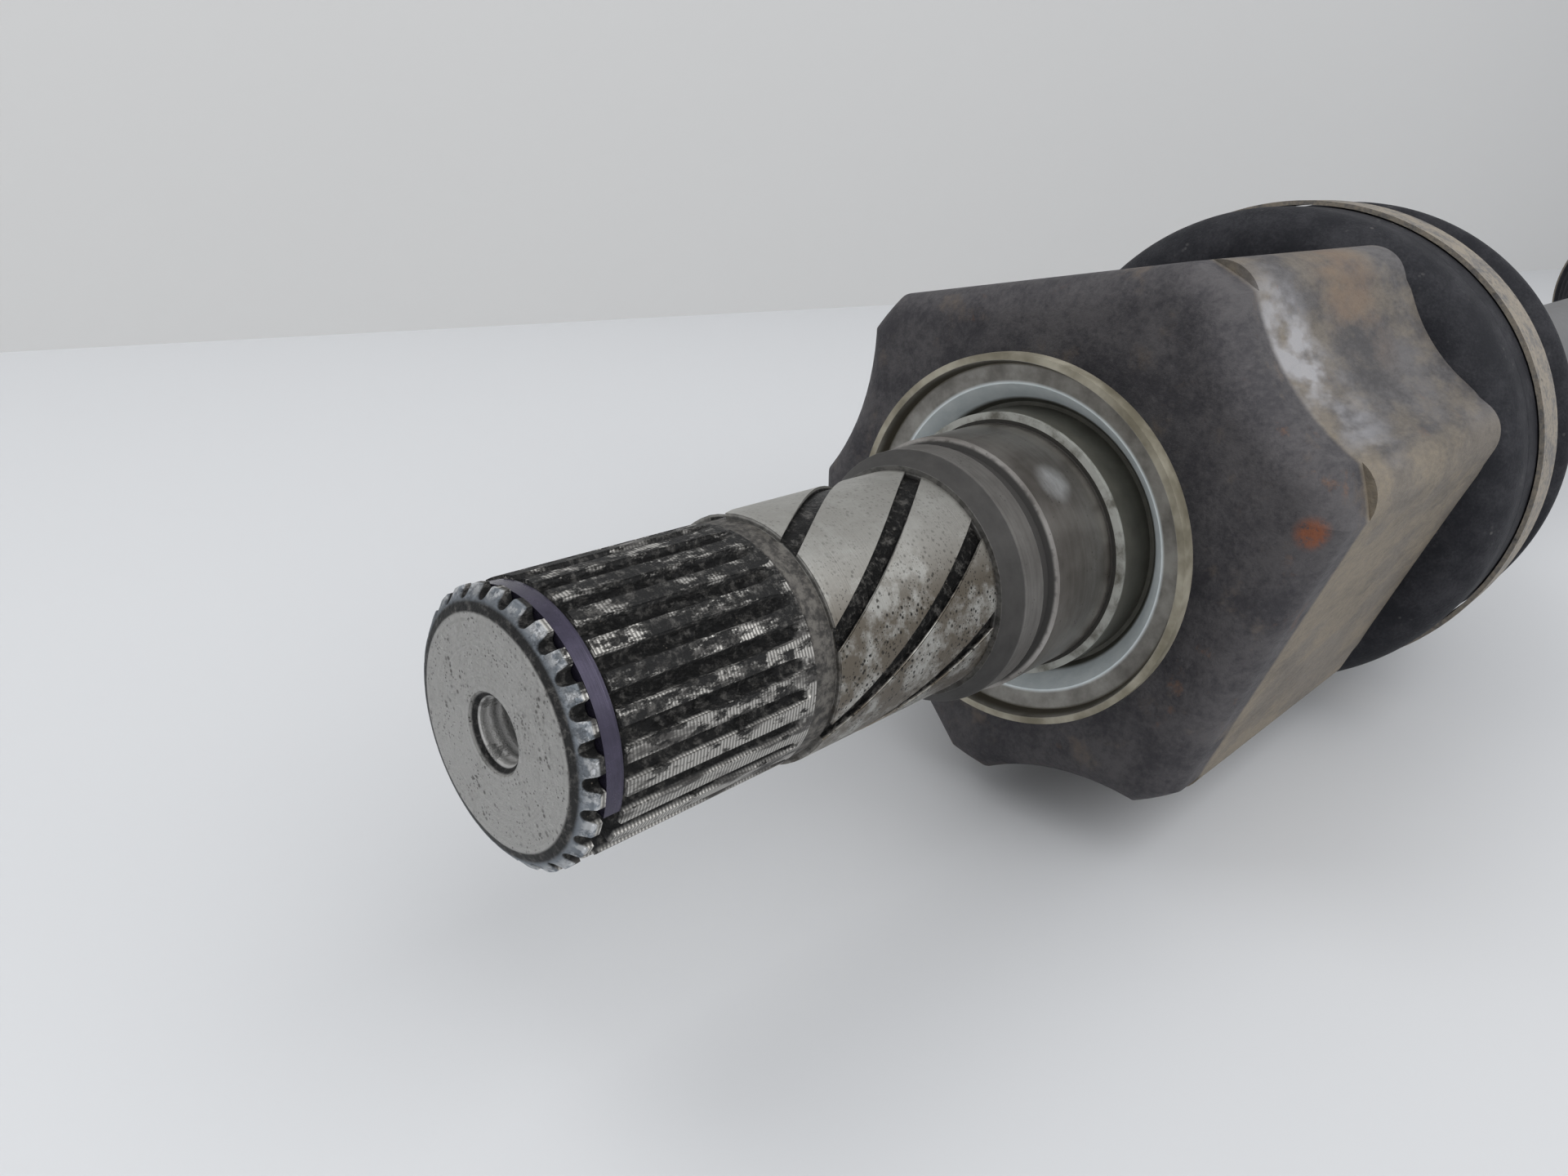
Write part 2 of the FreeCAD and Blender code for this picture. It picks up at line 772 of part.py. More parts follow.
def tripod_spider():
    body = new_body("tripod_spider")
    half = size.hub_half_length
    turned_about_x(
        body,
        "hub",
        [
            (-half, size.tripod_seat_radius),
            (half, size.tripod_seat_radius),
            (half, size.hub_radius),
            (-half, size.hub_radius),
        ],
    )
    groove_start = size.roller_pitch + size.roller_width / 2
    groove_end = groove_start + size.retainer_width + 2 * size.retainer_gap
    groove_radius = size.trunnion_radius - size.retainer_groove
    trunnion = outline(
        sketch_on(body, "trunnion_outline", "XZ_Plane"),
        [
            (0, size.trunnion_root),
            (size.trunnion_base_radius, size.trunnion_root),
            (size.trunnion_base_radius, size.trunnion_base_height),
            (size.trunnion_foot_radius, size.trunnion_foot_height),
            (size.trunnion_radius, size.trunnion_foot_height),
            (size.trunnion_radius, groove_start),
            (groove_radius, groove_start),
            (groove_radius, groove_end),
            (size.trunnion_radius, groove_end),
            (size.trunnion_radius - size.trunnion_chamfer, size.trunnion_height),
            (0, size.trunnion_height),
        ],
    )
    around(body, "trunnions", revolve(body, "trunnion", trunnion, axis="V_Axis"), LOBES)
    return place(body, tripod_x, SIZES["lobe_azimuth"])


def turned_about_trunnion(label, corners, azimuth):
    body = new_body(label)
    profile = outline(sketch_on(body, "outline", "XZ_Plane"), corners)
    revolve(body, "ring", profile, axis="V_Axis")
    return place(body, tripod_x, azimuth)


def tripod_roller(label, azimuth):
    bore = size.trunnion_radius + 2 * (size.needle_play + size.needle_radius)
    half = size.roller_width / 2
    edge = leg(size.roller_radius, half)
    corners = [
        (bore, size.roller_pitch - half),
        (edge, size.roller_pitch - half),
        (edge, size.roller_pitch + half, size.roller_radius),
        (bore, size.roller_pitch + half),
    ]
    return turned_about_trunnion(label, corners, azimuth)


def roller_retainer(label, azimuth):
    bottom = size.roller_pitch + size.roller_width / 2 + size.retainer_gap
    top = bottom + size.retainer_width
    inner = size.trunnion_radius - size.retainer_groove
    corners = [
        (inner, bottom),
        (size.retainer_radius, bottom),
        (size.retainer_radius, top),
        (inner, top),
    ]
    return turned_about_trunnion(label, corners, azimuth)


def needle_rollers(label, azimuth):
    body = new_body(label)
    body.AllowCompound = True
    mean_radius = size.trunnion_radius + size.needle_play + size.needle_radius
    bottom = size.roller_pitch - size.needle_length / 2
    ring = disc(sketch_on(body, "outline", "XY_Plane", along=bottom), mean_radius, 0, size.needle_radius)
    needle = feature(body, "Pad", "needle", ring, Length=size.needle_length)
    around(body, "ring", needle, size.needle_count, axis="Z_Axis")
    return place(body, tripod_x, azimuth)


def bar_circlip(label, start, seat_radius):
    """A snap ring that grips the floor of a groove of the bar."""
    body = new_body(label)
    inner = seat_radius - size.bar_clip_depth
    ring = outline(
        sketch_on(body, "outline", "XZ_Plane"),
        [
            (start, inner),
            (start + size.bar_clip_width, inner),
            (start + size.bar_clip_width, inner + size.bar_clip_height),
            (start, inner + size.bar_clip_height),
        ],
    )
    revolve(body, "ring", ring, angle=size.bar_clip_arc, Midplane=True)
    return body


def shaft_bar():
    body = new_body("shaft_bar")
    groove_width = size.bar_clip_width + 2 * size.bar_clip_gap
    hub_front = tripod_x - size.hub_half_length
    hub_back = tripod_x + size.hub_half_length
    bar_start = hub_front - groove_width - size.bar_end_length
    race_front = ball_x - size.race_half_width
    race_back = ball_x + size.race_half_width
    bar_end = race_back + groove_width + size.bar_end_length
    boot_seat_radius = size.bar_radius + size.boot_seat_rise
    inner_seat_start = inner_boot_end - size.small_collar_length
    outer_seat_end = outer_boot_start + size.small_collar_length
    turned_about_x(
        body,
        "bar",
        [
            (bar_start, 0),
            (bar_end, 0),
            (bar_end, size.race_seat_radius - size.bar_chamfer),
            (bar_end - size.bar_chamfer, size.race_seat_radius),
            (race_back + groove_width, size.race_seat_radius),
            (race_back + groove_width, size.race_seat_radius - size.bar_clip_depth),
            (race_back, size.race_seat_radius - size.bar_clip_depth),
            (race_back, size.race_seat_radius),
            (race_front, size.race_seat_radius),
            (race_front, size.neck_radius),
            (race_front - size.neck_length, size.neck_radius),
            (race_front - size.neck_length - size.bar_taper, size.bar_radius),
            (outer_seat_end, size.bar_radius),
            (outer_seat_end, boot_seat_radius),
            (outer_boot_start, boot_seat_radius),
            (outer_boot_start, size.bar_radius),
            (inner_boot_end, size.bar_radius),
            (inner_boot_end, boot_seat_radius),
            (inner_seat_start, boot_seat_radius),
            (inner_seat_start, size.bar_radius),
            (hub_back + size.neck_length + size.bar_taper, size.bar_radius),
            (hub_back + size.neck_length, size.neck_radius),
            (hub_back, size.neck_radius),
            (hub_back, size.tripod_seat_radius),
            (hub_front, size.tripod_seat_radius),
            (hub_front, size.tripod_seat_radius - size.bar_clip_depth),
            (hub_front - groove_width, size.tripod_seat_radius - size.bar_clip_depth),
            (hub_front - groove_width, size.tripod_seat_radius),
            (bar_start + size.bar_chamfer, size.tripod_seat_radius),
            (bar_start, size.tripod_seat_radius - size.bar_chamfer),
        ],
    )
    return body


def cut_ball_tracks(body):
    """Six round tracks that curve about the joint's centre."""
    track = disc(
        sketch_on(body, "track_outline", "YZ_Plane"), size.ball_pitch, 0, size.ball_radius + size.track_room
    )
    groove = revolve(
        body, "track", track, axis="V_Axis", kind="Groove", angle=size.track_sweep, Midplane=True
    )
    return around(body, "tracks", groove, BALLS)


def inner_race():
    body = new_body("inner_race")
    half = size.race_half_width
    edge = leg(race_radius, half)
    turned_about_x(
        body,
        "ring",
        [
            (-half, size.race_seat_radius),
            (half, size.race_seat_radius),
            (half, edge),
            (-half, edge, race_radius),
        ],
    )
    cut_ball_tracks(body)
    return place(body, ball_x)


def ball_cage():
    body = new_body("ball_cage")
    half = size.cage_half_width
    inner = race_radius + size.sphere_gap
    turned_about_x(
        body,
        "ring",
        [
            (-half, leg(inner, half)),
            (half, leg(inner, half), -inner),
            (half, leg(cage_outer_radius, half)),
            (-half, leg(cage_outer_radius, half), cage_outer_radius),
        ],
    )
    window_half = size.ball_radius + size.ball_end_gap
    window_side = size.ball_radius + size.ball_side_room
    window = outline(
        sketch_on(body, "window_outline", "XZ_Plane"),
        [
            (-window_half, -window_side),
            (window_half, -window_side),
            (window_half, window_side),
            (-window_half, window_side),
        ],
    )
    pocket = feature(body, "Pocket", "window", window, Length=cage_outer_radius + OVERRUN)
    around(body, "windows", pocket, BALLS)
    return place(body, ball_x)


def joint_ball(label, azimuth):
    ball = doc.addObject("Part::Sphere", label)
    ball.Label = label
    ball.setExpression("Radius", size.ball_radius.text)
    ball.setExpression("Placement.Base.x", ball_x.text)
    ball.setExpression("Placement.Base.y", f"{size.ball_pitch.text} * sin({azimuth})")
    ball.setExpression("Placement.Base.z", f"{size.ball_pitch.text} * cos({azimuth})")
    return ball


def outer_race():
    """The bell of the outer joint with its splined and threaded stub, about the joint's centre."""
    body = new_body("outer_race")
    face = size.bell_floor + size.bell_bottom
    plain_end = face + size.stub_plain_length
    spline_end = plain_end + size.outer_spline_length
    relief_end = spline_end + size.thread_relief_length
    end = relief_end + size.thread_length
    seat_end = size.bell_seat_length - size.bell_mouth
    floor_radius = leg(cage_outer_radius + size.sphere_gap, size.bell_floor)
    mouth_radius = leg(cage_outer_radius + size.sphere_gap, size.bell_mouth)
    turned_about_x(
        body,
        "bell",
        [
            (-size.bell_mouth, mouth_radius),
            (size.bell_floor, floor_radius, -(cage_outer_radius + size.sphere_gap)),
            (size.bell_floor, 0),
            (end - size.centre_hole_depth, 0),
            (end, size.centre_hole_radius),
            (end, size.thread_radius - size.thread_chamfer),
            (end - size.thread_chamfer, size.thread_radius),
            (relief_end, size.thread_radius),
            (relief_end, size.thread_relief_radius),
            (spline_end, size.thread_relief_radius),
            (spline_end, size.outer_spline_radius),
            (plain_end, size.outer_spline_radius),
            (plain_end, size.stub_plain_radius),
            (face, size.stub_plain_radius),
            (face, size.bell_face_radius),
            (face - size.bell_step, size.bell_dome_end),
            (size.bell_barrel, size.bell_radius, size.bell_dome_radius),
            (seat_end, size.bell_radius),
            (seat_end, size.bell_seat_radius),
            (-size.bell_mouth, size.bell_seat_radius),
        ],
    )
    cut_ball_tracks(body)
    cut_splines(
        body,
        "splines",
        spline_end,
        -1,
        size.outer_spline_length,
        size.outer_spline_radius,
        size.outer_spline_teeth,
    )
    return place(body, ball_x)


inner_big_inner = size.adaptor_radius + size.soft_gap
inner_big_clamp_radius = inner_big_inner + size.boot_wall + size.soft_gap
outer_big_inner = size.bell_seat_radius + size.soft_gap
outer_big_clamp_radius = outer_big_inner + size.boot_wall + size.soft_gap
small_clamp_radius = (
    size.bar_radius + size.boot_seat_rise + size.boot_seat_gap + size.boot_wall + size.soft_gap
)
small_clamp_margin = (size.small_collar_length - size.small_clamp_width) / 2
clip_start = tripod_x - size.hub_half_length - size.bar_clip_gap - size.bar_clip_width
race_clip_start = ball_x + size.race_half_width + size.bar_clip_gap
inner_folds_start = tulip_end + size.boot_tail + size.shoulder_run
inner_folds_end = inner_boot_end - size.small_collar_length
outer_folds_start = bell_mouth_x - size.outer_shoulder
outer_folds_end = outer_boot_start + size.small_collar_length

parts = [
    inner_joint_housing(),
    stub_circlip(),
    dust_shield(),
    inner_boot_adaptor(),
    boot(
        "inner_boot",
        inner_boot_start,
        inner_big_inner,
        inner_folds_start,
        inner_folds_end,
        inner_boot_end,
        (size.inner_crest_first, size.inner_root_first, size.inner_crest_last, size.inner_root_last),
    ),
    clamp(
        "inner_boot_big_clamp",
        inner_boot_start + size.inner_clamp_offset,
        inner_big_clamp_radius,
        size.big_clamp_width,
        size.big_ear_half,
        SIZES["inner_ear_azimuth"],
    ),
    clamp(
        "inner_boot_small_clamp",
        inner_folds_end + small_clamp_margin,
        small_clamp_radius,
        size.small_clamp_width,
        size.small_ear_half,
        SIZES["inner_ear_azimuth"],
    ),
    tripod_spider(),
    bar_circlip("spider_circlip", clip_start, size.tripod_seat_radius),
    shaft_bar(),
    inner_race(),
    bar_circlip("inner_race_circlip", race_clip_start, size.race_seat_radius),
    ball_cage(),
    outer_race(),
    boot(
        "outer_boot",
        bell_mouth_x + size.bell_seat_length,
        outer_big_inner,
        outer_folds_start,
        outer_folds_end,
        outer_boot_start,
        (size.outer_crest_first, size.outer_root_first, size.outer_crest_last, size.outer_root_last),
    ),
    clamp(
        "outer_boot_big_clamp",
        bell_mouth_x + size.outer_clamp_offset,
        outer_big_clamp_radius,
        size.big_clamp_width,
        size.big_ear_half,
        SIZES["outer_ear_azimuth"],
    ),
    clamp(
        "outer_boot_small_clamp",
        outer_boot_start + small_clamp_margin,
        small_clamp_radius,
        size.small_clamp_width,
        size.small_ear_half,
        SIZES["outer_ear_azimuth"],
    ),
]
for number in range(LOBES):
    trunnion_azimuth = SIZES["lobe_azimuth"] + 360 * number / LOBES
    parts.append(tripod_roller(f"roller_{number + 1}", trunnion_azimuth))
    parts.append(needle_rollers(f"needle_rollers_{number + 1}", trunnion_azimuth))
    parts.append(roller_retainer(f"roller_retainer_{number + 1}", trunnion_azimuth))
for number in range(BALLS):
    parts.append(joint_ball(f"ball_{number + 1}", FIRST_BALL_AZIMUTH + 360 * number / BALLS))

doc.recompute()

for item in doc.Objects:
    assert not {"Invalid", "Error"} & set(item.State), f"{item.Label}: {item.State}"
    cutter = item.TypeId.startswith(("PartDesign::Groove", "PartDesign::Pocket", "PartDesign::Subtractive"))
    if cutter:
        assert item.Shape.Volume < item.BaseFeature.Shape.Volume - LEAST_CUT, f"{item.Label} cuts nothing"
os.makedirs("parts", exist_ok=True)
for item in parts:
    assert not item.Shape.isNull() and item.Shape.isValid(), item.Label
    item.Shape.exportStep(f"parts/{item.Label}.step")
    print(item.Label, len(item.Shape.Solids), len(item.Shape.Faces), round(item.Shape.Volume, 1))
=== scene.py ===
import json
import math
from collections import namedtuple

import bpy
from mathutils import Euler, Matrix, Vector


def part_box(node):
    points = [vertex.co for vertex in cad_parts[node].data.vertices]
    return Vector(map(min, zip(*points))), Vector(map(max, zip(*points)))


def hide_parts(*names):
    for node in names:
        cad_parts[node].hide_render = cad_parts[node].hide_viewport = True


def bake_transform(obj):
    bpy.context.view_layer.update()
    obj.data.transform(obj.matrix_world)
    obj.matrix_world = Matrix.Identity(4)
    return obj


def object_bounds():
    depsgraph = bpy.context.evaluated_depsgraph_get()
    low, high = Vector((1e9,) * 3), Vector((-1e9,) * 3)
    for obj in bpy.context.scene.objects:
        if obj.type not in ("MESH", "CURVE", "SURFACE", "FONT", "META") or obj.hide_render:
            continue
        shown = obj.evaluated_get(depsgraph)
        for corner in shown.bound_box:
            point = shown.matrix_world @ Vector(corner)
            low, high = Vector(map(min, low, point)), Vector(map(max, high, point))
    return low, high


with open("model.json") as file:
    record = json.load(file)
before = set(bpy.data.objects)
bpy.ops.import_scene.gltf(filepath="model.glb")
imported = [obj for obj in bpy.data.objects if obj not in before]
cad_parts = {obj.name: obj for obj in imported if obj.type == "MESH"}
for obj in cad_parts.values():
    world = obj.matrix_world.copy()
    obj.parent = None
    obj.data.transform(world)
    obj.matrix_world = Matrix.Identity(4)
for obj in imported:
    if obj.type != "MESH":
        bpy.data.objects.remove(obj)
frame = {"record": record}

# Lengths below are millimetres along the shaft (x) or from its axis (radius); the scene is in metres.
MM = 0.001
TURN = 2 * math.pi

cad_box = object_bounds()


def node_box(node):
    """A CAD node's lowest and highest corners in millimetres."""
    low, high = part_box(node)
    return low / MM, high / MM


# Places read from the CAD nodes
shield_low, shield_high = node_box("dust_shield")
inner_boot_low, inner_boot_high = node_box("inner_boot")
outer_boot_low, outer_boot_high = node_box("outer_boot")
ball_low, ball_high = node_box("ball_2")

tulip_front = shield_high.x
tulip_end = node_box("inner_joint_housing")[1].x
bell_mouth = node_box("outer_race")[0].x
ball_x = (ball_low.x + ball_high.x) / 2
floor_z = cad_box[0][2]

# Places along the inner stub, from its end face
CHAMFER = 1.35
HOLE_DEPTH = 24.0
SPLINE_END = 29.2
JOURNAL_START = 32.5
JOURNAL_END = 61.0
CONE_END = 63.6
RING_END = 67.7
LAND_START = 70.2
LAND_END = 83.4
TURNED_END = tulip_front + 11.0

# Radii of the inner stub
HOLE_RADIUS = 3.5
END_FACE_RADIUS = 11.75
CREST_RADIUS = 14.1
JOURNAL_RADIUS = 14.6

# Radii where the dust shield's surfaces change
SHIELD_LIP = 19.2
SHIELD_SLEEVE = 20.0
SHIELD_CONE = 22.5
SHIELD_CREASE = 25.5
SHIELD_RIM = 25.8

# Places along the wheel stub, from the balls' centre, and its radii
NECK_START = 33.0
NECK_RADIUS = 15.5
SHOULDER = 39.0
WHEEL_SPLINE_START = 47.0
WHEEL_SPLINE_END = 87.0
NUT_THREAD_START = 91.0
WHEEL_CREST_RADIUS = 14.0

# Thread pitches of the tapped hole and the nut thread
HOLE_PITCH = 1.25
NUT_PITCH = 1.5

# Spots on the forging that are seen to differ: a painted highlight on the seal land, painted sheen on the
# tulip's flank at two spots, and two rust spots
PAINTED_HIGHLIGHT_SPOT = (76.0, -10.7, 13.8)
SHEEN_SPOT = (107.5, -24.0, 32.0)
SHEEN_SPOT_BELOW = (111.0, -31.0, 24.0)
RUST_SPOT = (92.5, -38.0, 11.6)
RUST_SPOT_TOP = (135.0, -21.0, 37.0)
LOWER_FLAT_TURN = math.radians(-106)

BLACK = (0.0, 0.0, 0.0)

# Corners closer than this are one, and edges flatter than this shade smoothly
SAME_PLACE = 0.01
SMOOTH_ANGLE = math.radians(40)

# Materials


class Value:
    """A number or vector that runs through a material's nodes, so that patterns read as sums."""

    def __init__(self, finish, socket):
        self.finish = finish
        self.socket = socket

    def math(self, operation, *others):
        values = dict(enumerate((self, *others)))
        return self.finish.node("ShaderNodeMath", {"operation": operation}, values)

    def __add__(self, other):
        return self.math("ADD", other)

    def __sub__(self, other):
        return self.math("SUBTRACT", other)

    def __mul__(self, other):
        return self.math("MULTIPLY", other)

    def __truediv__(self, other):
        return self.math("DIVIDE", other)

    def __radd__(self, other):
        return self.math("ADD", other)

    def __rmul__(self, other):
        return self.math("MULTIPLY", other)

    def __rsub__(self, other):
        return self.finish.node("ShaderNodeMath", {"operation": "SUBTRACT"}, {0: other, 1: self})

    def capped(self, most=1.0):
        """The value, but never above the most."""
        return self.math("MINIMUM", most)

    def rises(self, low, high):
        """0 below low, 1 above high, and smooth between them."""
        values = {"Value": self, "From Min": low, "From Max": high}
        return self.finish.node("ShaderNodeMapRange", {"interpolation_type": "SMOOTHSTEP"}, values)

    def falls(self, low, high):
        """1 below low, 0 above high, and smooth between them."""
        return 1 - self.rises(low, high)

    def within(self, low, high, blur=0.15):
        """1 between low and high, with blurred ends."""
        return self.rises(low - blur, low + blur) * self.falls(high - blur, high + blur)

    def waves(self, pitch):
        """Even waves from 0 to 1 with that pitch."""
        return (self * (TURN / pitch)).math("SINE") * 0.5 + 0.5


class Finish:
    """A material under construction: its nodes, and the patterns that its pieces share."""

    def __init__(self, name):
        self.material = bpy.data.materials.new(name)
        self.material.use_nodes = True
        self.tree = self.material.node_tree
        self.shader = next(node for node in self.tree.nodes if node.type == "BSDF_PRINCIPLED")
        place = self.node("ShaderNodeTexCoord", output="Object")
        self.place = self.node("ShaderNodeVectorMath", {"operation": "SCALE"}, {0: place, "Scale": 1 / MM})
        self.x, self.y, self.z = (
            self.node("ShaderNodeSeparateXYZ", {}, {0: self.place}, axis) for axis in range(3)
        )
        self.radius = (self.y * self.y + self.z * self.z).math("SQRT")
        self.turns = self.y.math("ARCTAN2", self.z) / TURN

    def node(self, kind, settings=None, values=None, output=0):
        made = self.tree.nodes.new(kind)
        for key, setting in (settings or {}).items():
            setattr(made, key, setting)
        for key, value in (values or {}).items():
            if isinstance(value, Value):
                self.tree.links.new(value.socket, made.inputs[key])
            else:
                made.inputs[key].default_value = value
        return Value(self, made.outputs[output])

    def noise(self, size, detail=3, roughness=0.55, place=None):
        """Cloudy noise from 0 to 1 with patches of about that many millimetres."""
        values = {"Scale": 1 / size, "Detail": detail, "Roughness": roughness}
        values["Vector"] = place or self.place
        return self.node("ShaderNodeTexNoise", {}, values)

    def along_shaft(self, stretch):
        """Places for patterns that are drawn out along the shaft."""
        values = {0: self.place, 1: (1 / stretch, 1, 1)}
        return self.node("ShaderNodeVectorMath", {"operation": "MULTIPLY"}, values)

    def specks(self, size, share):
        """Round specks of about that size in millimetres, over a share of the surface."""
        values = {"Vector": self.place, "Scale": 1 / size, "Randomness": 1.0}
        cells = self.node("ShaderNodeTexVoronoi", {}, values, "Distance")
        return cells.falls(0.12, 0.34) * self.noise(size * 5, 2).rises(0.9 - share, 1.1 - share)

    def marks(self, along, pitch):
        """Fine uneven lines across a distance, as a lathe leaves them."""
        values = {"W": along / pitch, "Scale": 1.0, "Detail": 4, "Roughness": 0.7}
        return self.node("ShaderNodeTexNoise", {"noise_dimensions": "1D"}, values)

    def near(self, spot, reach):
        """1 at a spot, and 0 beyond its reach."""
        values = {0: self.place, 1: spot}
        gap = self.node("ShaderNodeVectorMath", {"operation": "DISTANCE"}, values, "Value")
        return gap.falls(reach * 0.3, reach)

    def mix(self, first, second, share):
        """Colours mixed: the second where share is 1."""
        values = {0: share}
        for key, item in ((6, first), (7, second)):
            values[key] = item if isinstance(item, Value) else (*item, 1)
        return self.node("ShaderNodeMix", {"data_type": "RGBA"}, values, 2)

    def layers(self, base, *coats):
        """Coats of colour laid over a base, each given with its share."""
        for shade, share in coats:
            base = self.mix(base, shade, share)
        return base

    def bumps(self, height, depth=1.0):
        """Surface relief: height in units of depth millimetres."""
        return self.node("ShaderNodeBump", {}, {"Strength": 1.0, "Distance": depth * MM, "Height": height})

    def surface(self, **inputs):
        """The finished material, its shader's inputs set or fed as named."""
        for key, value in inputs.items():
            socket = self.shader.inputs[key.replace("_", " ").title().replace("Ior", "IOR")]
            if isinstance(value, Value):
                self.tree.links.new(value.socket, socket)
            else:
                socket.default_value = value
        return self.material


# What one stretch of the forging adds: coats of colour, relief, and where its metal is clean
Stretch = namedtuple("Stretch", "coats relief clean", defaults=(0, 0))


def tapped_hole(finish):
    """1 on the wall of the hole in the stub's end."""
    wall = finish.radius.falls(HOLE_RADIUS, HOLE_RADIUS + 0.1)
    return wall * finish.x.falls(HOLE_DEPTH - 1.0, HOLE_DEPTH)


def spline_zone(finish):
    """1 from the end face to the end of the inner splines."""
    return finish.x.falls(SPLINE_END, SPLINE_END + 0.4)


def spline_spaces(finish):
    """1 in the spaces between the inner splines' teeth."""
    return spline_zone(finish) * finish.radius.falls(CREST_RADIUS - 0.6, CREST_RADIUS - 0.15)


def oily_dirt(finish, grime):
    """Black grease with grit, pale crumbs and rusty flecks."""
    return finish.layers(
        finish.mix((0.009, 0.009, 0.009), (0.12, 0.115, 0.107), grime.rises(0.48, 0.68)),
        ((0.34, 0.30, 0.25), finish.specks(0.35, 0.30) * 0.8),
        ((0.36, 0.17, 0.07), finish.specks(0.8, 0.16) * 0.8),
    )


def splines(finish, grime, film, dirt):
    """Cross-scored crests, shiny where bare, with grease in the spaces and clumped over the top."""
    zone = spline_zone(finish)
    spaces = spline_spaces(finish)
    crests = zone * finish.radius.rises(CREST_RADIUS - 0.4, CREST_RADIUS - 0.15)
    scores = finish.x.waves(0.42)
    clumps = finish.noise(1.4, 6, 0.75, finish.along_shaft(2.5))
    caked = (clumps * 0.6 + film * 0.4 + finish.z * 0.006).rises(0.525, 0.57)
    bare = finish.noise(1.6, 4, 0.6, finish.along_shaft(5.0)).rises(0.37, 0.54)
    steel = finish.mix((0.055, 0.052, 0.049), (0.60, 0.585, 0.55), (scores * 0.6 + 0.25) * bare)
    return Stretch(
        coats=[(steel, 1.0), (dirt, (spaces + zone * caked).capped())],
        relief=scores * crests * 0.05 + (grime + clumps) * (spaces + caked * zone) * 0.6,
        clean=crests * bare * (1 - caked) * 0.8,
    )


def stub_end(finish):
    """Faintly ringed, pitted end face, its tapped hole, and a blued chamfer with worn edges."""
    x, radius = finish.x, finish.radius
    face_zone = x.falls(0.1, 0.3) * radius.falls(END_FACE_RADIUS - 0.15, END_FACE_RADIUS + 0.15)
    rings = finish.marks(radius, 0.33)
    face = finish.mix((0.34, 0.335, 0.32), (0.47, 0.465, 0.45), rings)
    pits = (finish.specks(0.9, 0.46) + finish.specks(0.45, 0.5)).capped()

    hole_zone = tapped_hole(finish)
    thread = (x / HOLE_PITCH - finish.turns).waves(1.0)
    hole = finish.mix((0.36, 0.355, 0.345), (0.70, 0.69, 0.67), thread)

    depth = x + (CREST_RADIUS - CHAMFER) - radius
    chamfer_zone = x.falls(CHAMFER + 0.15, CHAMFER + 0.55) * depth.falls(0.2, 0.5)
    worn = finish.noise(1.0, 4, 0.6).rises(0.42, 0.58)
    worn = radius.rises(CREST_RADIUS - 1.2, CREST_RADIUS - 0.4) * worn
    chamfer = finish.mix((0.12, 0.14, 0.165), (0.27, 0.295, 0.32), finish.noise(3.0, 4))
    chamfer = finish.mix(chamfer, (0.60, 0.61, 0.62), worn * 0.8)
    return Stretch(
        coats=[
            (chamfer, chamfer_zone),
            (face, face_zone),
            ((0.06, 0.055, 0.05), face_zone * pits * 0.85),
            (hole, hole_zone),
        ],
        relief=rings * face_zone * 0.03 - pits * face_zone * 0.15 + thread * hole_zone * 0.25,
        clean=face_zone,
    )


def bearing_journal(finish, grime, film, dirt):
    """Ground and brushed journal with brown film and specks lower down, and greasy oil grooves."""
    x = finish.x
    zone = x.within(JOURNAL_START, JOURNAL_END)
    lower = finish.z.falls(5.0, 12.5)
    turning = finish.marks(x, 0.25)
    brushed = finish.noise(0.5, 4, 0.7, finish.along_shaft(6.0))
    brown = finish.noise(4.5, 6, 0.68).rises(0.35, 0.55)
    scored = turning * 0.3 + brushed * 0.4 + film * 0.3
    steel = finish.mix((0.29, 0.285, 0.265), (0.50, 0.495, 0.465), scored)
    steel = finish.mix(steel, (0.10, 0.08, 0.056), brown * (lower * 0.72 + 0.16))
    specks = (finish.specks(0.8, 0.58) + finish.specks(0.4, 0.55)).capped() * (lower * 0.7 + 0.3)
    groove = zone * finish.radius.falls(JOURNAL_RADIUS - 0.4, JOURNAL_RADIUS - 0.1)
    undercut = finish.mix((0.03, 0.028, 0.026), (0.12, 0.112, 0.10), grime.rises(0.38, 0.62))
    return Stretch(
        coats=[
            (undercut, x.within(SPLINE_END, JOURNAL_START)),
            (steel, zone),
            (dirt, groove),
            ((0.02, 0.018, 0.016), specks * zone),
        ],
        relief=grime * groove * 0.5 + turning * zone * 0.02,
        clean=zone,
    )


